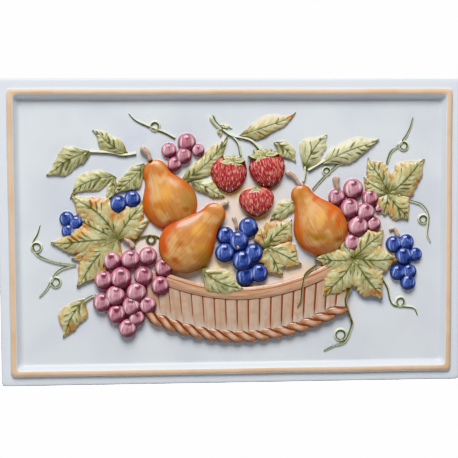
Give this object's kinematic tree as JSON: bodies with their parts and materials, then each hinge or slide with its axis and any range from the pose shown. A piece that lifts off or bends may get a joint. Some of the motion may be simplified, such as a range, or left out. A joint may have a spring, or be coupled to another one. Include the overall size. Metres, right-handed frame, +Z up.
{
  "type": "ceramic tile",
  "caption": "Rectangular glazed ceramic wall tile with a raised beaded rim and a hand-painted relief of a basket of fruit, leaves and tendrils.",
  "frame": {"origin": "centre of the flat unglazed back, on the plane that goes to the wall", "axes": "+X to the right along the long side seen from the front, +Z up the wall, +Y out of the back into the wall; the relief faces -Y"},
  "size_m": [0.457, 0.0248, 0.302],
  "materials": {
    "glazed_ceramic": "glossy white glaze over a hand-painted moulded relief, bare fired clay on the back"
  },
  "bodies": {
    "root": {"relief_tile": "glazed_ceramic"}
  },
  "joints": []
}
